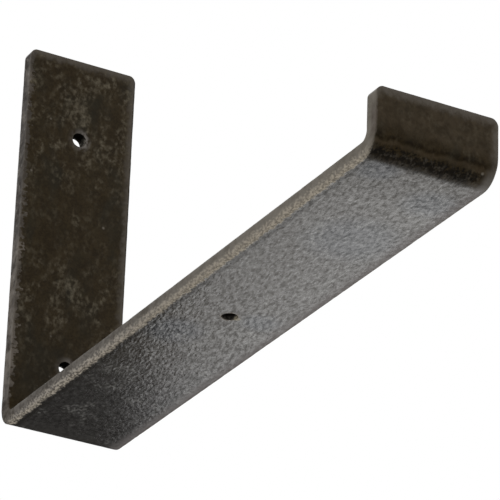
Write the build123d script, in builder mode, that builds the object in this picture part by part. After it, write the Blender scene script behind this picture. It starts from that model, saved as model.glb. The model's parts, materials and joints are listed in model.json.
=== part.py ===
"""Hanging shelf bracket: one flat steel bar, bent up against the wall and up again as a front lip.

The wall lies on the XZ plane with the bracket in front of it, towards -Y, and +Z is up. The origin is
the middle of the two wall holes, on the face that sits against the wall.
"""
import os

from build123d import *

# Flat bar stock: two inches by a quarter inch, with sheared edges, lightly broken
bar_width = 50.8
bar_thickness = 6.35
edge_break_radius = 0.2

# Outside sizes of the bent bar
plate_height = 177.8
arm_depth = 304.8
lip_height = 25.4

# Bends and free ends
heel_inside_radius = 3.8
toe_inside_radius = 3.5
end_corner_radius = 3.175

# Screw holes, all on the bar's centre line
hole_radius = 3.175
hole_deburr = 0.1
upper_hole_below_top = 38.1
lower_hole_above_arm = 25.4
shelf_hole_from_wall = 152.4

# Heights, measured from the underside of the arm until the origin is known
lower_hole_height = bar_thickness + lower_hole_above_arm
upper_hole_height = plate_height - upper_hole_below_top
wall_hole_spacing = upper_hole_height - lower_hole_height
arm_underside = -(lower_hole_height + upper_hole_height) / 2
plate_top = arm_underside + plate_height
lip_top = arm_underside + lip_height

with BuildPart() as bracket:
    # The side profile: the bar's outer face as a line bent twice, thickened towards the inside
    with BuildSketch(Plane.YZ) as profile:
        with BuildLine():
            FilletPolyline(
                (0, plate_top),
                (0, arm_underside),
                (-arm_depth, arm_underside),
                (-arm_depth, lip_top),
                radius=[heel_inside_radius + bar_thickness, toe_inside_radius + bar_thickness],
            )
            offset(amount=bar_thickness, side=Side.RIGHT)
        make_face()
    extrude(amount=bar_width / 2, both=True)

    # Free ends: the corners of the cut bar are rounded off
    end_corners = bracket.edges().filter_by(Axis.Y).group_by(Edge.length)[0]
    fillet(end_corners, radius=end_corner_radius)

    # Broken edges: both outlines of the bar, carried round the bends and the free ends
    corner_blends = bracket.edges().filter_by(Axis.Y).group_by(Edge.length)[0]
    bend_seams = bracket.edges().filter_by(Axis.X).group_by(Edge.length)[-1]
    fillet(bracket.edges() - corner_blends - bend_seams, radius=edge_break_radius)

    # Two screw holes through the wall plate, one above the other
    with Locations(Plane.XZ):
        with GridLocations(0, wall_hole_spacing, 1, 2):
            Hole(radius=hole_radius, depth=bar_thickness)
    chamfer(bracket.edges(Select.LAST).filter_by(GeomType.CIRCLE), length=hole_deburr)

    # One screw hole up through the arm into the shelf
    with Locations((0, -shelf_hole_from_wall, arm_underside + bar_thickness)):
        Hole(radius=hole_radius, depth=bar_thickness)
    chamfer(bracket.edges(Select.LAST).filter_by(GeomType.CIRCLE), length=hole_deburr)

bracket.part.label = "bracket"

os.makedirs("parts", exist_ok=True)
export_step(bracket.part, "parts/bracket.step")
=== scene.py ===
"""Looks of the hanging shelf bracket: a bent flat bar of hot-rolled steel that still has its mill scale.

The bar is modelled flat, as it is before bending: cut to length, eased along its edges and drilled. Its
scale, pebbles, wear and some painted shade and light are laid out on the flat bar, and then the whole bar
is bent to the part's form.
"""
import json
import math
from types import SimpleNamespace

import bpy
import numpy as np
from mathutils import Matrix, Vector, noise

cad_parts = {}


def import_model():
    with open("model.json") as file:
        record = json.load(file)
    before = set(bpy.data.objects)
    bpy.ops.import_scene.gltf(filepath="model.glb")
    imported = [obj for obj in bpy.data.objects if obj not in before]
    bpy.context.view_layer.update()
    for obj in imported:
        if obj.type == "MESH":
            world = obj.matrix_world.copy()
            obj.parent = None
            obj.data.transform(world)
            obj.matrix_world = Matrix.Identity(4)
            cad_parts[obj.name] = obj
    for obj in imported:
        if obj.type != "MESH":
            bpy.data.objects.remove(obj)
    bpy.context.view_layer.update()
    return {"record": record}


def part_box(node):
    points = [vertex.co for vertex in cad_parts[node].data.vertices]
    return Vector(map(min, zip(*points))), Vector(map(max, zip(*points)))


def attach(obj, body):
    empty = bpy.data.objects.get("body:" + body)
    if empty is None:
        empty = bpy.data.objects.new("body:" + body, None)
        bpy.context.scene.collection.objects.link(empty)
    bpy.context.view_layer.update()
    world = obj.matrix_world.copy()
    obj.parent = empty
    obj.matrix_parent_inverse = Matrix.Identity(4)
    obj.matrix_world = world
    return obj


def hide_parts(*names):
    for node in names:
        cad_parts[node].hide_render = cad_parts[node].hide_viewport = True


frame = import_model()

MM = 0.001

# Sizes of the bar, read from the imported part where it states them
low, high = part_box("bracket")
mounts = {mount["name"]: mount for mount in frame["record"]["mounts"]}
HALF_WIDTH = (high.x - low.x) / 2
THICKNESS = mounts["shelf_seat"]["pos_m"][2] - low.z
HOLE_RADIUS = mounts["shelf_screw_hole"]["dims"]["r_mm"] * MM
LIP_HEIGHT = 25.4 * MM
HEEL_RADIUS = THICKNESS + 3.8 * MM
TOE_RADIUS = THICKNESS + 3.5 * MM
CORNER_RADIUS = 3.175 * MM
EDGE_RADIUS = 0.2 * MM
HOLE_DEBURR = 0.1 * MM

# Runs of the outer face from the plate's free end to the lip's: length, and bend radius or zero
QUARTER_TURN = math.pi / 2
RUNS = [
    (high.z - low.z - HEEL_RADIUS, 0),
    (HEEL_RADIUS * QUARTER_TURN, HEEL_RADIUS),
    (high.y - low.y - HEEL_RADIUS - TOE_RADIUS, 0),
    (TOE_RADIUS * QUARTER_TURN, TOE_RADIUS),
    (LIP_HEIGHT - TOE_RADIUS, 0),
]
STARTS = [sum(length for length, radius in RUNS[:k]) for k in range(len(RUNS))]
LENGTH = sum(length for length, radius in RUNS)
ARM_START = STARTS[2]

# Where the heel's bend, the arm, the toe's bend and the lip start on the flat bar, in millimetres
HEEL_MM, ARM_MM, TOE_MM, LIP_MM = [start / MM for start in STARTS[1:]]

# Spacing of the flat bar's mesh, and the deepest inset of its end rows
ROW_SPACING = 0.8 * MM
OUTER_COLUMNS = 62
INNER_COLUMNS = 40
SIDE_COLUMNS = 6
EDGE_COLUMNS = 3
END_ROWS = 10
END_INSET = 0.95 * EDGE_RADIUS

# Drills that cut the holes, and the angle from which an edge is shaded as sharp
DRILL_SIDES = 48
DRILL_OVERRUN = 1.0 * MM
SHARP_ANGLE = math.radians(40)

# Relief of the steel: depth and size of its marks, and where they set in or fade out
PEBBLE_DEPTH = 0.05 * MM
PEBBLE_SIZE_MM = 2.4
PEBBLE_SHAPE = (1, 0.45, 1)
PEBBLE_FADE = (0.2 * MM, 1.0 * MM)
SCALE_DEPTH = 0.03 * MM
SCALE_SIZE_MM = 5.0
NICK_DEPTH = 0.06 * MM
NICK_SIZE_MM = 4.5
NICK_REACH = 1.2 * MM
NICK_ONSET = (0.5, 0.8)
HOLE_FADE = (HOLE_DEBURR, 2.5 * MM)
BUMP_DISTANCE = 0.55 * MM

# Noises on the flat bar: turn in degrees, stretch, size in millimetres, detail, roughness and distortion
NOISES = {
    "broad": ((0, 0, 0), (1, 1.7, 1), 13, 3, 0.55, 0.5),
    "cloud": ((0, 0, 8), (1, 1.7, 1), 7, 2, 0.5, 0.3),
    "smudge": ((0, 0, 30), (1, 2, 1), 7, 2, 0.5, 0.6),
    "patch": ((0, 0, 0), (1, 1, 1), 4.5, 4, 0.6, 0.4),
    "mottle": ((0, 0, 6), (1, 1.25, 1), 2.3, 3, 0.6, 0),
    "cobble": ((0, 0, 14), (1, 1.5, 1), 1.8, 1.5, 0.5, 0.3),
    "fleck": ((0, 0, 8), (1, 1.5, 1), 1.6, 3, 0.6, 0),
    "streak": ((0, 0, 0), (2.5, 1, 1), 1.6, 2, 0.6, 0),
    "pebble": ((0, 0, 14), (1, 2.8, 1), 1.5, 1.5, 0.5, 0.3),
    "bump": ((0, 0, 14), (1, 2, 1), 1.35, 1, 0.5, 0.2),
    "drip": ((0, 0, 0), (1, 2, 1), 1.3, 3, 0.6, 0),
    "fine": ((0, 0, 0), (1, 1, 1), 1.0, 2, 0.65, 0),
    "grit": ((-27, 0, 0), (1, 2.2, 1), 0.9, 3, 0.65, 0),
    "speckle": ((0, 0, 16), (1, 2.5, 1), 0.75, 1.5, 0.55, 0),
}
NOISE_RANGE = (0.3, 0.7)
CHIP_SPACING_MM = 7

# Rubbed places on the flat bar, in millimetres: across, along and reach
PLATE_RUBS = [(-0.5, 108.5, 7), (0.5, 76.5, 3.5), (-1, 26, 8), (8, 9, 6)]
ARM_SCUFFS = [(-9.5, 211, 7), (-7, 241, 5.5), (-11, 258, 6.5), (7, 233, 5)]

# Bluish sheens under the arm, on the flat bar, in millimetres: across, along and reach
ARM_SHEENS = [(-12, 303, 16), (13, 327, 11), (5, 410, 24), (14, 450, 14), (-16, 464, 11)]

# Burr left by the drill at the shelf hole's mouth, lighter on one side as a painted highlight, in
# millimetres from its axis: across, along and reach
BURR_AND_GLINT = (3.5, -0.5, 1.8)

# Share of a mark's reach within which it is full
FULL_SHARE = 0.35

# Share of the mirrored light that dark scale keeps, and the clear coat's index
GLOSS = 0.13
COAT_IOR = 1.33

# Colours of the scale, in linear light. A pair is the dark and the light end of a noise
BROWN_SCALE = (0.0160, 0.0104, 0.0040), (0.0282, 0.0196, 0.0088)
BLACK_SCALE = (0.0150, 0.0136, 0.0090)
LIP_SCALE = (0.0340, 0.0252, 0.0150), (0.0600, 0.0458, 0.0295)
RUBBED_SCALE = (0.126, 0.108, 0.076)
CHIPPED_SCALE = (0.110, 0.096, 0.077)

# Colours under the arm and round the turn into the lip
PEBBLE_GREY = (0.0190, 0.0177, 0.0163), (0.0345, 0.0322, 0.0300)
BROWN_TINT = (0.0325, 0.0252, 0.0145)
BLUE_TINT = (0.0232, 0.0262, 0.0305)
SCUFF_GREY = (0.170, 0.165, 0.155)
HEEL_GREY = (0.045, 0.042, 0.039)
# Painted shade: the nearly black band round the toe's bend, where it turns away from the light
TURN_PAINTED_SHADE = (0.0060, 0.0055, 0.0050), (0.039, 0.0343, 0.0280)
CREASE_BROWN = (0.060, 0.044, 0.028)
LIP_LINE = (0.0085, 0.0056, 0.0031)

# Colours along the outline of the faces
FACE_RIM = (0.094, 0.082, 0.068)
TURN_RIM = (0.125, 0.116, 0.107)
ARM_RIM = (0.139, 0.127, 0.123)
# Painted shade: a dark line on the underside along the arm's left arris, where the rounded edge turns from
# the light
ARM_EDGE_PAINTED_SHADE = (0.018, 0.0162, 0.0138)

# Colours of the sides
SIDE_SCALE = (0.0236, 0.0183, 0.0137), (0.099, 0.0835, 0.068)
SIDE_RUBBED = (0.150, 0.134, 0.116)
SIDE_LAP = (0.170, 0.153, 0.132)
SMOOTH_GREY = (0.079, 0.0695, 0.058), (0.131, 0.118, 0.098)
PITTED_GREY = (0.042, 0.036, 0.029)
TOE_SHADE = (0.068, 0.055, 0.045)
TORN_DARK = (0.066, 0.058, 0.048)
TORN_LIGHT = (0.274, 0.244, 0.204), (0.318, 0.281, 0.226)
# Painted light: the bare arris beside the outer face made lighter, where its turned edge gets less light
ARRIS_PAINTED_LIGHT = (0.56, 0.50, 0.41)

# Colours round the holes and in their bores
WALL_HOLE_RIM = (0.136, 0.123, 0.112)
SHELF_HOLE_RIM = (0.098, 0.078, 0.056)
# Burr at the shelf hole's mouth, partly a painted highlight on its lit side
BURR_TAN_AND_GLINT = (0.250, 0.222, 0.160)
# Painted shade and light in the bores: near black at the top of a wall hole's bore, lighter on its lower
# wall and near the outer face
BORE_PAINTED_SHADE_AND_LIGHT = (0.005, 0.0042, 0.0034), (0.150, 0.137, 0.116)

# Camera
VIEW_AZIMUTH = -27.997
VIEW_ELEVATION = -25.494
VIEW_ROLL = 2.115
VIEW_DISTANCE = 1.41972
VIEW_AIM = Vector((0, -0.16698, -0.06316))
FOCAL_PIXELS = 3698.8
FRAME_PIXELS = 500

# Floor, black flag and the faint unevenness of their matt surfaces
FLOOR_DROP = 3.2
FLOOR_SIZE = 40
FLOOR_COLOUR = (0.86, 0.86, 0.85)
FLAG_BEHIND = 0.3
FLAG_SPAN = (-0.4, 0.30, -0.6, 0.02)
FLAG_COLOUR = (0.01, 0.01, 0.01)
MATT_ROUGHNESS = 0.9
MATT_SHADE = 0.97
MATT_PATCH = 0.6

# Lamps: places, aims and sizes in metres, and watts
BRACKET_MIDDLE = (0, -0.15, 0)
ARM_MIDDLE = (0, -0.15, -0.08)
KEY_PLACE = (-1.3, -1.2, 1.4)
KEY_SIZE = (1.2, 1.2)
KEY_WATTS = 22
CARD_PLACE = (0.307, 0.075, -0.236)
CARD_TURN = (math.pi, 0, math.radians(-25.0))
CARD_SIZE = (0.4, 0.8)
CARD_WATTS = 3.05
FILL_SIZE = (1.0, 1.0)
LOW_FILL_PLACE = (0.3, -0.3, -0.95)
LOW_FILL_WATTS = 3.6
FILL_PLACE = (-1.4, -0.5, -0.7)
FILL_WATTS = 7

# Strength of the white surround: as light on the part, and where it is seen or mirrored
SURROUND_LIGHT = 0.55
SURROUND_WHITE = 1.0


def section(half_width, inset):
    """Outline of the bar's section as (across, depth) points, starting on the outer face at -across."""
    rounding = EDGE_RADIUS - inset
    flat = half_width - inset - rounding
    near = inset + rounding
    far = THICKNESS - near
    points = []

    def run(start, end, count):
        for k in range(count):
            share = k / count
            points.append([a + (b - a) * share for a, b in zip(start, end)])

    def corner(centre, start_angle):
        for k in range(EDGE_COLUMNS):
            angle = start_angle + QUARTER_TURN * k / EDGE_COLUMNS
            points.append([centre[0] + rounding * math.cos(angle), centre[1] + rounding * math.sin(angle)])

    run((-flat, inset), (flat, inset), OUTER_COLUMNS)
    corner((flat, near), -QUARTER_TURN)
    run((flat + rounding, near), (flat + rounding, far), SIDE_COLUMNS)
    corner((flat, far), 0)
    run((flat, far + rounding), (-flat, far + rounding), INNER_COLUMNS)
    corner((-flat, far), QUARTER_TURN)
    run((-flat - rounding, far), (-flat - rounding, near), SIDE_COLUMNS)
    corner((-flat, near), 2 * QUARTER_TURN)
    return points


def bar_rows():
    """Rows along the flat bar: place, half width and inset, with rounded corners and eased ends."""
    ends = []
    for k in range(END_ROWS):
        angle = QUARTER_TURN * k / END_ROWS
        place = CORNER_RADIUS * (1 - math.cos(angle))
        half_width = HALF_WIDTH - CORNER_RADIUS * (1 - math.sin(angle))
        rise = max(EDGE_RADIUS - place, 0)
        inset = EDGE_RADIUS - math.sqrt(EDGE_RADIUS ** 2 - rise ** 2)
        ends.append((place, half_width, min(inset, END_INSET)))
    count = round((LENGTH - 2 * CORNER_RADIUS) / ROW_SPACING)
    places = np.linspace(CORNER_RADIUS, LENGTH - CORNER_RADIUS, count)
    middle = [(place, HALF_WIDTH, 0) for place in places]
    return ends + middle + [(LENGTH - place, half, inset) for place, half, inset in reversed(ends)]


def flat_bar_mesh():
    """The bar before drilling, as a closed mesh in flat coordinates: across, along and depth."""
    rows = bar_rows()
    vertices = []
    for along, half_width, inset in rows:
        vertices += [(across, along, depth) for across, depth in section(half_width, inset)]
    columns = len(vertices) // len(rows)
    faces = []
    for row in range(len(rows) - 1):
        for column in range(columns):
            corner = row * columns + column
            beside = row * columns + (column + 1) % columns
            faces.append((corner, corner + columns, beside + columns, beside))
    faces.append(tuple(range(columns)))
    faces.append(tuple(reversed(range(len(vertices) - columns, len(vertices)))))
    mesh = bpy.data.meshes.new("flat_bar")
    mesh.from_pydata(vertices, [], faces)
    return mesh


def hole_places():
    """Places along the flat bar of the two wall holes and the shelf hole."""
    wall = mounts["wall_holes"]
    half_spacing = wall["dims"]["spacing_y_mm"] * MM / 2
    heights = (wall["pos_m"][2] + half_spacing, wall["pos_m"][2] - half_spacing)
    shelf = ARM_START + high.y - HEEL_RADIUS - mounts["shelf_screw_hole"]["pos_m"][1]
    return [high.z - height for height in heights] + [shelf]


def drill_mesh():
    """Closed cutters for the holes, each a drill with a deburred mouth at both faces."""
    wide = HOLE_RADIUS + HOLE_DEBURR + DRILL_OVERRUN
    profile = [
        (wide, -DRILL_OVERRUN),
        (HOLE_RADIUS, HOLE_DEBURR),
        (HOLE_RADIUS, THICKNESS - HOLE_DEBURR),
        (wide, THICKNESS + DRILL_OVERRUN),
    ]
    vertices, faces = [], []
    for place in hole_places():
        first = len(vertices)
        for radius, depth in profile:
            for k in range(DRILL_SIDES):
                angle = 2 * math.pi * k / DRILL_SIDES
                vertices.append((radius * math.cos(angle), place + radius * math.sin(angle), depth))
        for ring in range(len(profile) - 1):
            for k in range(DRILL_SIDES):
                corner = first + ring * DRILL_SIDES + k
                beside = first + ring * DRILL_SIDES + (k + 1) % DRILL_SIDES
                faces.append((corner, beside, beside + DRILL_SIDES, corner + DRILL_SIDES))
        last = len(vertices) - DRILL_SIDES
        faces.append(tuple(reversed(range(first, first + DRILL_SIDES))))
        faces.append(tuple(range(last, last + DRILL_SIDES)))
    mesh = bpy.data.meshes.new("drills")
    mesh.from_pydata(vertices, [], faces)
    return mesh


def drilled(mesh):
    """The flat bar with its holes cut."""
    bar = bpy.data.objects.new("flat_bar", mesh)
    drill = bpy.data.objects.new("drills", drill_mesh())
    for piece in (bar, drill):
        bpy.context.scene.collection.objects.link(piece)
    cut = bar.modifiers.new("holes", "BOOLEAN")
    cut.object = drill
    cut.solver = "EXACT"
    graph = bpy.context.evaluated_depsgraph_get()
    result = bpy.data.meshes.new_from_object(bar.evaluated_get(graph))
    for piece in (bar, drill):
        bpy.data.objects.remove(piece)
    return result


def read_vectors(items, name):
    values = np.zeros(len(items) * 3)
    items.foreach_get(name, values)
    return values.reshape(-1, 3)


def smoothstep(value, start, end):
    share = np.clip((value - start) / (end - start), 0, 1)
    return share * share * (3 - 2 * share)


def grain(points_mm, size_mm, octaves=2):
    """Noise from 0 to 1 at each point."""
    values = [noise.fractal(Vector(p) / size_mm, 1.0, 2.0, octaves) for p in points_mm]
    return np.clip(0.5 + 0.5 * np.array(values), 0, 1)


def worn(flat, normals):
    """The flat bar's points, sunk where the scale is pebbled and where the edges are knocked."""
    points_mm = flat / MM
    across, along, depth = flat.T
    edge = HALF_WIDTH - np.abs(across)
    on_outer = 1 - smoothstep(depth, *PEBBLE_FADE)
    from_axis = np.min([np.hypot(across, along - place) for place in hole_places()], axis=0)
    clear_of_holes = smoothstep(from_axis - HOLE_RADIUS, *HOLE_FADE)
    near_face = np.minimum(depth, THICKNESS - depth)
    on_arris = (1 - smoothstep(edge, 0, NICK_REACH)) * (1 - smoothstep(near_face, 0, NICK_REACH))
    sink = SCALE_DEPTH * grain(points_mm, SCALE_SIZE_MM)
    sink += PEBBLE_DEPTH * on_outer * grain(points_mm * PEBBLE_SHAPE, PEBBLE_SIZE_MM)
    sink += NICK_DEPTH * on_arris * smoothstep(grain(points_mm, NICK_SIZE_MM), *NICK_ONSET)
    return flat - normals * (sink * clear_of_holes)[:, None]


def bent(flat):
    """Where the flat bar's points lie in the part's frame once the bar is bent."""
    across, along, depth = flat.T
    run_of = np.clip(np.searchsorted(STARTS, along, side="right") - 1, 0, len(RUNS) - 1)
    place = np.zeros_like(flat)
    place[:, 0] = across
    point = np.array([high.y, high.z])
    heading = np.array([0.0, -1.0])
    inward = np.array([-1.0, 0.0])
    for k, (length, radius) in enumerate(RUNS):
        here = run_of == k
        travel = (along[here] - STARTS[k])[:, None]
        rise = depth[here][:, None]
        if radius:
            turn = travel / radius
            centre = point + inward * radius
            place[here, 1:] = centre + (heading * np.sin(turn) - inward * np.cos(turn)) * (radius - rise)
            point = centre + heading * radius
            heading, inward = inward, -heading
        else:
            place[here, 1:] = point + heading * travel + inward * rise
            point = point + heading * length
    return place


def bracket_piece():
    """The finished bracket, with its flat coordinates kept in millimetres for the material."""
    mesh = drilled(flat_bar_mesh())
    flat = read_vectors(mesh.vertices, "co")
    normals = read_vectors(mesh.vertices, "normal")
    kept = mesh.attributes.new("flat_mm", "FLOAT_VECTOR", "POINT")
    kept.data.foreach_set("vector", (flat / MM).ravel())
    mesh.vertices.foreach_set("co", bent(worn(flat, normals)).ravel())
    mesh.update()
    mesh.shade_smooth()
    mesh.set_sharp_from_angle(angle=SHARP_ANGLE)
    piece = bpy.data.objects.new("bracket_bar", mesh)
    bpy.context.scene.collection.objects.link(piece)
    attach(piece, "root")
    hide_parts("bracket")
    return piece


class Graph:
    """Adds nodes to a material and links them. A value is a number, a colour or another node's output."""

    def __init__(self, material):
        material.use_nodes = True
        self.tree = material.node_tree
        self.shader = self.tree.nodes["Principled BSDF"]

    def node(self, kind, **settings):
        made = self.tree.nodes.new(kind)
        for name, value in settings.items():
            setattr(made, name, value)
        return made

    def put(self, socket, value):
        if isinstance(value, bpy.types.NodeSocket):
            self.tree.links.new(value, socket)
        else:
            socket.default_value = value

    def math(self, operation, *values):
        made = self.node("ShaderNodeMath", operation=operation)
        for socket, value in zip(made.inputs, values):
            self.put(socket, value)
        return made.outputs[0]

    def times(self, product, *others):
        """The product of all the values."""
        for value in others:
            product = self.math("MULTIPLY", product, value)
        return product

    def plus(self, total, *others):
        """The sum of all the values."""
        for value in others:
            total = self.math("ADD", total, value)
        return total

    def minus(self, first, second):
        return self.math("SUBTRACT", first, second)

    def rest(self, share):
        """What a share leaves of one."""
        return self.minus(1, share)

    def scaled(self, value, by, base):
        """The value times a factor, on top of a base."""
        return self.math("MULTIPLY_ADD", value, by, base)

    def least(self, first, second):
        return self.math("MINIMUM", first, second)

    def most(self, first, second):
        return self.math("MAXIMUM", first, second)

    def blend(self, share, first, second):
        """A share of the first value and the rest of the second."""
        return self.plus(self.times(first, share), self.times(second, 1 - share))

    def between(self, value, start, end, at_start=0.0, at_end=1.0):
        """Goes smoothly from one number to another as the value goes from start to end."""
        made = self.node("ShaderNodeMapRange", interpolation_type="SMOOTHSTEP")
        names = ("From Min", "From Max", "To Min", "To Max")
        for name, number in zip(names, (start, end, at_start, at_end)):
            made.inputs[name].default_value = number
        self.put(made.inputs["Value"], value)
        return made.outputs["Result"]

    def sway(self, value, reach):
        """A noise that swings from -reach to reach."""
        return self.between(value, *NOISE_RANGE, -reach, reach)

    def span(self, value, start, full, fading, end):
        """One while the value is between full and fading, falling smoothly to nothing at start and end."""
        return self.times(self.between(value, start, full), self.between(value, end, fading))

    def ridge(self, value, middle, reach):
        """One where the value is at the middle, falling smoothly to nothing on both sides."""
        return self.between(self.math("ABSOLUTE", self.minus(value, middle)), reach, 0.0)

    def noise(self, place, size, detail=2.0, roughness=0.5, distortion=0.0):
        made = self.node("ShaderNodeTexNoise")
        self.put(made.inputs["Vector"], place)
        made.inputs["Scale"].default_value = 1 / size
        made.inputs["Detail"].default_value = detail
        made.inputs["Roughness"].default_value = roughness
        made.inputs["Distortion"].default_value = distortion
        return made.outputs["Fac"]

    def stretched(self, place, turn, shape):
        """The place seen in turned and stretched axes, for marks that run one way."""
        made = self.node("ShaderNodeMapping", vector_type="TEXTURE")
        made.inputs["Rotation"].default_value = [math.radians(angle) for angle in turn]
        made.inputs["Scale"].default_value = shape
        self.put(made.inputs["Vector"], place)
        return made.outputs["Vector"]

    def apart(self, place, point):
        """How far a place is from a point."""
        made = self.node("ShaderNodeVectorMath", operation="DISTANCE")
        self.put(made.inputs[0], place)
        made.inputs[1].default_value = point
        return made.outputs["Value"]

    def red(self, colour):
        """The red of a colour, for a cell's own random number."""
        made = self.node("ShaderNodeSeparateColor")
        self.put(made.inputs[0], colour)
        return made.outputs[0]

    def mix(self, share, first, second):
        made = self.node("ShaderNodeMix", data_type="RGBA")
        self.put(made.inputs[0], share)
        for socket, colour in zip((made.inputs[6], made.inputs[7]), (first, second)):
            self.put(socket, colour if isinstance(colour, bpy.types.NodeSocket) else (*colour, 1))
        return made.outputs[2]


def steel():
    """Hot-rolled steel: brown scale, a pebbled grey underside, worn rims, sheared sides and holes, with
    painted shade and light at the toe's bend, the arm's left arris, the bare arris, the bores and the shelf
    hole's burr.
    """
    material = bpy.data.materials.new("hot_rolled_steel")
    g = Graph(material)
    f = bar_fields(g)
    colour, gloss = pebbled_face(g, f, scale_colour(g, f))
    colour, gloss = lip_turn(g, f, colour, gloss)
    colour, gloss = worn_rim_and_edge_shade(g, f, colour, gloss)
    colour, gloss, bare = sheared_sides(g, f, colour, gloss)
    colour, gloss = hole_marks(g, f, colour, gloss)
    shader = g.shader.inputs
    g.put(shader["Base Color"], colour)
    g.put(shader["Metallic"], g.times(bare, g.between(f.depth, 0.3, 1.0, 0, 0.3)))
    g.put(shader["Specular IOR Level"], gloss)
    g.put(shader["Roughness"], g.scaled(f.under, 0.06, g.between(f.patch, 0.3, 0.75, 0.15, 0.22)))
    g.put(shader["IOR"], COAT_IOR)
    g.put(shader["Normal"], relief(g, f))
    return material


def bar_fields(g):
    """Places on the flat bar in millimetres, the noises, and the faces and runs that a place belongs to."""
    place = g.node("ShaderNodeAttribute", attribute_name="flat_mm").outputs["Vector"]
    split = g.node("ShaderNodeSeparateXYZ")
    g.put(split.inputs[0], place)
    across, along, depth = split.outputs
    flat = g.node("ShaderNodeCombineXYZ")
    g.put(flat.inputs[0], across)
    g.put(flat.inputs[1], along)
    f = SimpleNamespace(across=across, along=along, depth=depth, flat=flat.outputs[0])
    for name, (turn, shape, *texture) in NOISES.items():
        setattr(f, name, g.noise(g.stretched(place, turn, shape), *texture))

    edge = g.minus(HALF_WIDTH / MM, g.math("ABSOLUTE", across))
    f.end = g.least(along, g.minus(LENGTH / MM, along))
    f.rim = g.least(edge, g.minus(f.end, 0.5))
    from_axis = LENGTH / MM
    for hole in hole_places():
        from_axis = g.least(from_axis, g.apart(f.flat, (0, hole / MM, 0)))
    f.hole = g.minus(from_axis, HOLE_RADIUS / MM)

    f.on_outer = g.between(depth, 0.9, 0.2)
    f.under = g.times(f.on_outer, g.span(along, HEEL_MM, ARM_MM, TOE_MM, TOE_MM + 3))
    f.on_left = g.between(across, -15, -20)
    f.on_lip = g.between(along, LIP_MM - 4, LIP_MM + 3)
    f.lapped = g.times(g.between(along, HEEL_MM, HEEL_MM - 10), g.between(across, 5, -5))
    torn = g.plus(g.sway(f.streak, 1.0), g.sway(f.mottle, 1.3))
    torn = g.times(torn, g.scaled(f.lapped, 0.85, 0.15))
    reach = g.scaled(f.lapped, 1.0, 0.4)
    f.on_side = g.between(g.minus(g.plus(edge, torn), reach), 0.5, -0.4)
    ragged = g.plus(g.sway(f.mottle, 0.6), g.sway(f.fleck, 0.4))
    overlap = g.between(along, HEEL_MM + 60, HEEL_MM + 190, 1.6, 1.3)
    f.lap = g.minus(g.plus(edge, ragged), overlap)
    f.chip = chips(g, place)
    return f


def chips(g, place):
    """Small chips in the scale, each in the middle of a cell that its random number picks."""
    cell = g.node("ShaderNodeTexVoronoi")
    g.put(cell.inputs["Vector"], place)
    cell.inputs["Scale"].default_value = 1 / CHIP_SPACING_MM
    picked = g.between(g.red(cell.outputs["Color"]), 0.8, 0.86)
    return g.times(picked, g.between(cell.outputs["Distance"], 0.13, 0.03))


def close_to(g, f, places):
    """One in the middle of each place, falling to nothing at its reach."""
    share = 0.0
    for across, along, reach in places:
        gap = g.apart(f.flat, (across, along, 0))
        share = g.most(share, g.between(gap, reach, FULL_SHARE * reach))
    return share


def scale_colour(g, f):
    """Brown scale with darker patches and soft rubbed blotches, fewer on the plate's middle and the lip."""
    brown = g.mix(g.between(g.blend(0.5, f.patch, f.fine), 0.36, 0.64), *BROWN_SCALE)
    scale = g.mix(g.times(g.between(f.broad, 0.45, 0.75), 0.6), brown, BLACK_SCALE)
    tan = g.mix(g.between(f.patch, 0.34, 0.66), *LIP_SCALE)
    scale = g.mix(g.times(f.on_lip, 0.6), scale, tan)
    knock = close_to(g, f, PLATE_RUBS)
    blotch = g.scaled(knock, 0.04, g.blend(0.6, f.mottle, f.fleck))
    cloud = g.scaled(knock, 0.3, f.cloud)
    rubbed = g.times(g.between(blotch, 0.43, 0.78), g.between(cloud, 0.36, 0.62))
    fewer = g.most(g.span(f.along, 45, 75, 85, 110), g.between(f.along, 122, 142))
    fewer = g.times(g.most(fewer, g.times(f.on_lip, 0.8)), g.rest(knock))
    rubbed = g.times(rubbed, g.scaled(fewer, -0.65, 1))
    colour = g.mix(rubbed, scale, RUBBED_SCALE)
    return g.mix(f.chip, colour, CHIPPED_SCALE)


def pebbled_face(g, f, colour):
    """The outer face along the arm: pebbled grey with brownish and bluish sheens and faint scuffs."""
    drawn_out = g.blend(0.6, f.pebble, f.speckle)
    lumpy = g.blend(0.7, f.cobble, f.fine)
    middle = g.times(
        g.between(f.along, ARM_MM + 20, ARM_MM + 80, 0.3, 1),
        g.between(f.along, ARM_MM + 250, ARM_MM + 130, 0.5, 1),
    )
    pebble = g.scaled(middle, g.minus(drawn_out, lumpy), lumpy)
    contrast = g.plus(
        g.between(f.along, ARM_MM + 110, ARM_MM + 190, 1.0, 0.83),
        g.between(f.along, ARM_MM + 225, ARM_MM + 275, 0, 0.24),
    )
    pebble = g.scaled(g.minus(pebble, 0.5), contrast, 0.5)
    grey = g.mix(g.between(pebble, 0.4, 0.6), *PEBBLE_GREY)
    tint = g.mix(close_to(g, f, ARM_SHEENS), BROWN_TINT, BLUE_TINT)
    grey = g.mix(g.between(f.along, ARM_MM + 40, ARM_MM + 130, 0, 0.5), grey, tint)
    scuff = g.most(g.between(f.smudge, 0.54, 0.70), close_to(g, f, ARM_SCUFFS))
    scuff = g.times(scuff, g.between(f.fleck, 0.43, 0.66))
    grey = g.mix(g.times(scuff, 0.6), grey, SCUFF_GREY)
    grey = g.mix(g.between(f.along, ARM_MM + 14, ARM_MM - 4, 0, 0.36), grey, HEEL_GREY)
    gloss = g.scaled(f.under, g.between(pebble, 0.39, 0.61, -0.03, 0.245), GLOSS)
    gloss = g.times(gloss, g.between(f.along, TOE_MM - 30, TOE_MM - 2, 1, 0.64))
    gloss = g.times(gloss, g.between(f.across, -25, 25, 0.92, 1.09))
    heel = g.span(f.along, HEEL_MM - 6, HEEL_MM, ARM_MM, ARM_MM + 6)
    return g.mix(f.under, colour, grey), g.times(gloss, g.scaled(heel, -0.7, 1))


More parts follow.
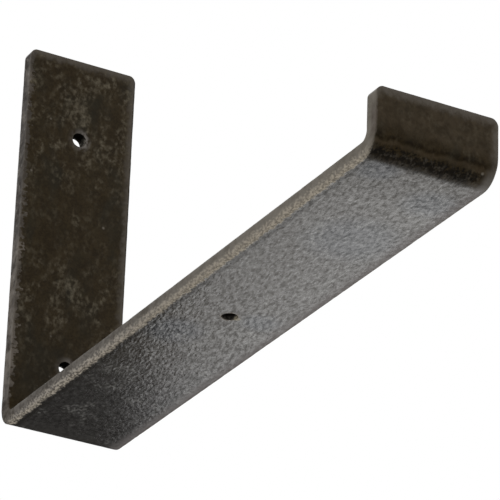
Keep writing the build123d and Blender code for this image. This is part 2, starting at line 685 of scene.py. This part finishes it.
def lip_turn(g, f, colour, gloss):
    """The turn into the lip: nearly black, ragged painted shade where the bend turns away from the light,
    then a brown crease and a dark line.
    """
    onset = g.plus(f.along, g.sway(f.drip, 2.2), g.sway(f.mottle, 0.8))
    onset = g.minus(onset, g.between(f.across, 14, 25, 0, 5))
    ragged = g.plus(f.along, g.sway(f.mottle, 1.2), g.sway(f.fine, 1.2))
    # Where the painted shade round the toe's bend lies; its gloss is taken away too
    turn = g.times(
        g.between(onset, TOE_MM - 2.8, TOE_MM + 6.4),
        g.between(ragged, TOE_MM + 9.0, TOE_MM + 6.0),
        f.on_outer,
        g.between(f.across, 23, 19.5, 0, 0.9),
    )
    colour = g.mix(turn, colour, g.mix(g.between(f.fleck, 0.5, 0.7), *TURN_PAINTED_SHADE))
    wavy = g.plus(f.along, g.sway(f.patch, 0.7))
    crease = g.times(g.ridge(wavy, TOE_MM + 9.7, 1.6), f.on_outer)
    colour = g.mix(g.times(crease, 0.34), colour, CREASE_BROWN)
    line = g.times(
        g.ridge(wavy, TOE_MM + 11.6, 1.6),
        f.on_outer,
        g.between(f.across, 24, 19, 0.45, 1),
        g.between(f.mottle, 0.38, 0.6, 1, 0.45),
    )
    colour = g.mix(g.times(line, 0.75), colour, LIP_LINE)
    return colour, g.times(gloss, g.rest(turn))


def worn_rim_and_edge_shade(g, f, colour, gloss):
    """A soft lighter band along the outline of the faces, and a dark line of painted shade under the arm's
    left edge, where its rounded arris turns.
    """
    ragged = g.plus(f.rim, g.sway(f.mottle, 0.9))
    left = g.times(f.on_left, g.between(f.end, 3, 6))
    wide = g.times(g.between(ragged, 4.2, 0.0), g.rest(f.under))
    wide = g.times(wide, g.scaled(left, -0.72, 0.72), g.scaled(f.on_lip, 0.3, 1))
    colour = g.mix(wide, colour, FACE_RIM)
    turn = g.span(f.along, TOE_MM - 1, TOE_MM + 2, TOE_MM + 5, TOE_MM + 12)
    turn = g.times(turn, f.on_outer, g.between(f.across, 20, 23.5))
    colour = g.mix(g.times(turn, 0.5), colour, TURN_RIM)
    soft = g.times(g.between(ragged, 6.5, 0.4), g.minus(f.under, left))
    soft = g.most(soft, 0)
    colour = g.mix(g.times(soft, 0.8), colour, ARM_RIM)
    # Painted shade along the arm's left arris on the underside
    edge_shade = g.times(g.ridge(f.lap, 1.5, 1.7), f.under, left)
    edge_shade = g.times(edge_shade, g.between(f.along, ARM_MM + 130, ARM_MM + 200, 1, 0.9))
    colour = g.mix(g.times(edge_shade, 0.75), colour, ARM_EDGE_PAINTED_SHADE)
    dull = g.most(soft, g.times(edge_shade, 0.55))
    return colour, g.times(gloss, g.scaled(dull, -0.92, 1))


def sheared_sides(g, f, colour, gloss):
    """The bar's sides: smooth and grey along the inner part, torn and bare along the arm's outer part, with
    painted light on the bare arris beside the outer face.
    """
    tone = g.plus(g.blend(0.5, f.patch, f.cloud), g.between(f.along, 80, 115, -0.09, 0.03))
    side = g.mix(g.between(tone, 0.38, 0.62), *SIDE_SCALE)
    side = g.mix(g.between(f.mottle, 0.53, 0.78), side, SIDE_RUBBED)
    side = g.mix(g.times(f.lapped, g.between(f.depth, 3.8, 6.2, 0, 0.2)), side, SIDE_LAP)
    colour = g.mix(f.on_side, colour, side)
    grey = g.mix(g.between(f.along, HEEL_MM + 20, LIP_MM - 40), *SMOOTH_GREY)
    pitted = g.between(g.blend(0.5, f.grit, f.patch), 0.57, 0.43)
    pitted = g.times(pitted, g.between(f.along, HEEL_MM + 40, HEEL_MM + 190, 0.9, 0.15))
    grey = g.mix(pitted, grey, PITTED_GREY)
    shade = g.span(f.along, LIP_MM - 9, LIP_MM - 2, LIP_MM + 3, LIP_MM + 13)
    shade = g.times(shade, g.between(f.depth, 4.2, 2.0, 0, 0.85))
    grey = g.mix(shade, grey, TOE_SHADE)
    smooth = g.times(f.on_side, g.between(f.along, HEEL_MM - 10, HEEL_MM + 14, 0, 0.8))
    colour = g.mix(smooth, colour, grey)
    light = g.mix(g.between(f.along, HEEL_MM + 110, HEEL_MM + 180), *TORN_LIGHT)
    # Painted light on the bare arris beside the outer face
    light = g.mix(g.between(f.depth, 0.8, 0.0, 0, 0.3), light, ARRIS_PAINTED_LIGHT)
    coarse = g.between(f.along, HEEL_MM + 70, HEEL_MM + 160, 0.9, 0.55)
    share = g.scaled(g.minus(g.between(f.grit, 0.39, 0.61), 0.55), coarse, 0.55)
    bare = torn_band(g, f)
    colour = g.mix(bare, colour, g.mix(share, TORN_DARK, light))
    uneven = g.times(f.on_side, g.between(f.patch, 0.36, 0.6, 0.8, 0.3))
    return colour, g.times(gloss, g.rest(g.most(uneven, bare))), bare


def torn_band(g, f):
    """Where the shear tore the arm's sides: a ragged band beside the outer face, narrower at both ends."""
    stretch = g.span(f.along, HEEL_MM + 6, HEEL_MM + 18, LIP_MM - 17, LIP_MM - 5)
    narrowed = g.plus(
        g.between(f.along, LIP_MM - 45, LIP_MM - 12, 0, 0.6),
        g.between(f.along, HEEL_MM + 90, HEEL_MM + 14, 0, 0.35),
    )
    band = g.plus(f.depth, narrowed, g.sway(f.grit, -0.6), g.sway(f.patch, 0.5))
    bare = g.times(g.between(band, 3.95, 1.3), g.between(f.lap, 0.5, -0.5), stretch)
    right_face = g.times(g.between(f.across, 0, 5), g.between(f.depth, 0.8, 0.4))
    return g.times(bare, g.rest(right_face))


def hole_marks(g, f, colour, gloss):
    """Rubbed rims round the holes, painted shade at the top of the bores and painted light on their lower
    walls, and the burr at the shelf hole with a painted highlight on one side.
    """
    upper, lower, shelf = [place / MM for place in hole_places()]
    half = (lower - upper) / 2
    below = g.math("WRAP", g.minus(f.along, upper), half, -half)
    on_plate = g.between(f.along, HEEL_MM, HEEL_MM - 5)
    ring = g.times(g.between(f.hole, 3.0, 0.4), g.between(f.mottle, 0.28, 0.52))
    ring = g.times(ring, on_plate, g.between(f.across, -3, 3, 0.2, 0.9))
    colour = g.mix(ring, colour, WALL_HOLE_RIM)
    rim = g.times(g.between(f.hole, 1.3, 0.1), g.between(f.mottle, 0.32, 0.55, 0.2, 0.75), f.under)
    colour = g.mix(rim, colour, SHELF_HOLE_RIM)
    gloss = g.times(gloss, g.scaled(rim, -0.8, 1))
    bore = g.between(f.hole, 0.12, 0.02)
    # Painted light on the lower wall of each wall hole's bore and near the outer face; the rest of the bore
    # is painted shade
    lit = g.times(on_plate, g.between(below, -2.6, -0.4))
    lit = g.most(lit, g.between(f.depth, 2.2, 0.1, 0, 0.4))
    lit = g.times(lit, g.between(f.fine, 0.40, 0.58, 0.2, 1))
    colour = g.mix(bore, colour, g.mix(lit, *BORE_PAINTED_SHADE_AND_LIGHT))
    gloss = g.times(gloss, g.rest(bore))
    # The burr, with a painted highlight on one side of the mouth
    across, along, reach = BURR_AND_GLINT
    burr_and_glint = close_to(g, f, [(across, shelf + along, reach)])
    burr_and_glint = g.times(burr_and_glint, g.between(f.depth, 1.8, 0.6), g.between(f.fine, 0.36, 0.56, 0.25, 0.9))
    colour = g.mix(burr_and_glint, colour, BURR_TAN_AND_GLINT)
    return colour, g.times(gloss, g.rest(burr_and_glint))


def relief(g, f):
    """Pebbles on the outer face, flatter towards both bends, and a faint grain elsewhere, as a normal."""
    pebbles = g.times(
        g.between(f.along, ARM_MM + 20, ARM_MM + 150, 0.06, 0.18),
        g.between(f.along, TOE_MM - 90, TOE_MM, 1, 0.8),
    )
    height = g.plus(g.times(f.on_outer, pebbles), 0.13)
    bump = g.node("ShaderNodeBump")
    bump.inputs["Distance"].default_value = BUMP_DISTANCE
    g.put(bump.inputs["Height"], g.times(g.minus(f.bump, 0.5), height))
    return bump.outputs[0]


def matt(name, colour):
    """A matt material for the floor or the flag, with the faint unevenness of a painted sheet."""
    material = bpy.data.materials.new(name)
    g = Graph(material)
    place = g.node("ShaderNodeTexCoord").outputs["Object"]
    tone = g.between(g.noise(place, MATT_PATCH, 3), *NOISE_RANGE)
    g.put(g.shader.inputs["Base Color"], g.mix(tone, [MATT_SHADE * c for c in colour], colour))
    g.put(g.shader.inputs["Roughness"], MATT_ROUGHNESS)
    g.put(g.shader.inputs["Specular IOR Level"], 0)
    return material


def stage_sheet(name, corners, material):
    """A flat four-cornered sheet that belongs to the stage."""
    mesh = bpy.data.meshes.new(name)
    mesh.from_pydata(corners, [], [(0, 1, 2, 3)])
    mesh.materials.append(material)
    piece = bpy.data.objects.new(name, mesh)
    bpy.context.scene.collection.objects.link(piece)
    return piece


def floor():
    """A wide pale floor, below any camera that looks up at the bracket."""
    half, level = FLOOR_SIZE / 2, low.z - FLOOR_DROP
    corners = [(-half, -half, level), (half, -half, level), (half, half, level), (-half, half, level)]
    stage_sheet("floor", corners, matt("pale_floor", FLOOR_COLOUR))


def flag():
    """A black studio flag behind the heel, seen only as a dark reflection in the arm's underside."""
    left, right, bottom, top = FLAG_SPAN
    outline = [(left, bottom), (right, bottom), (right, top), (left, top)]
    corners = [(x, FLAG_BEHIND, z) for x, z in outline]
    piece = stage_sheet("flag", corners, matt("black_cloth", FLAG_COLOUR))
    piece.visible_camera = piece.visible_diffuse = piece.visible_shadow = False


def lamp(name, place, turn, size, watts, lights=True, mirrored=True):
    """A soft lamp that stays out of the picture. It lights the part, is mirrored in it, or both."""
    data = bpy.data.lights.new(name, "AREA")
    data.shape = "RECTANGLE"
    data.size, data.size_y = size
    data.energy = watts
    piece = bpy.data.objects.new(name, data)
    piece.location = place
    piece.rotation_euler = turn
    piece.visible_camera = False
    piece.visible_diffuse, piece.visible_glossy = lights, mirrored
    bpy.context.scene.collection.objects.link(piece)


def aimed(place, target):
    """The turn that points a lamp at a target."""
    return (Vector(target) - Vector(place)).to_track_quat("-Z", "Y").to_euler()


def lamps():
    """A key from above, a card mirrored in the underside, and two fills from below."""
    lamp("key", KEY_PLACE, aimed(KEY_PLACE, BRACKET_MIDDLE), KEY_SIZE, KEY_WATTS)
    lamp("low_card", CARD_PLACE, CARD_TURN, CARD_SIZE, CARD_WATTS, lights=False)
    low_turn = aimed(LOW_FILL_PLACE, ARM_MIDDLE)
    lamp("low_fill", LOW_FILL_PLACE, low_turn, FILL_SIZE, LOW_FILL_WATTS, mirrored=False)
    lamp("fill", FILL_PLACE, aimed(FILL_PLACE, BRACKET_MIDDLE), FILL_SIZE, FILL_WATTS)


def world():
    """An even white surround: soft light on the part, and white where it is seen or mirrored."""
    made = bpy.data.worlds.new("white_surround")
    bpy.context.scene.world = made
    made.use_nodes = True
    tree = made.node_tree
    tree.nodes.clear()
    path = tree.nodes.new("ShaderNodeLightPath")
    seen = path.outputs["Is Camera Ray"]
    for name in ("Is Glossy Ray", "Is Transmission Ray"):
        either = tree.nodes.new("ShaderNodeMath")
        either.operation = "MAXIMUM"
        tree.links.new(seen, either.inputs[0])
        tree.links.new(path.outputs[name], either.inputs[1])
        seen = either.outputs[0]
    mix = tree.nodes.new("ShaderNodeMixShader")
    tree.links.new(seen, mix.inputs[0])
    for strength, socket in zip((SURROUND_LIGHT, SURROUND_WHITE), mix.inputs[1:]):
        background = tree.nodes.new("ShaderNodeBackground")
        background.inputs["Color"].default_value = (1, 1, 1, 1)
        background.inputs["Strength"].default_value = strength
        tree.links.new(background.outputs[0], socket)
    output = tree.nodes.new("ShaderNodeOutputWorld")
    tree.links.new(mix.outputs[0], output.inputs["Surface"])


def camera():
    """The photograph's view: from the front left, looking up, with a long lens."""
    azimuth, elevation = math.radians(VIEW_AZIMUTH), math.radians(VIEW_ELEVATION)
    back = Vector((
        math.sin(azimuth) * math.cos(elevation),
        -math.cos(azimuth) * math.cos(elevation),
        math.sin(elevation),
    ))
    data = bpy.data.cameras.new("camera")
    data.lens = FOCAL_PIXELS / FRAME_PIXELS * data.sensor_width
    piece = bpy.data.objects.new("camera", data)
    turn = (-back).to_track_quat("-Z", "Y").to_matrix().to_4x4()
    roll = Matrix.Rotation(math.radians(VIEW_ROLL), 4, "Z")
    piece.matrix_world = Matrix.Translation(VIEW_AIM + back * VIEW_DISTANCE) @ turn @ roll
    bpy.context.scene.collection.objects.link(piece)
    bpy.context.scene.camera = piece


bracket_piece().data.materials.append(steel())
floor()
flag()
lamps()
world()
camera()
bpy.context.scene.view_settings.view_transform = "Standard"
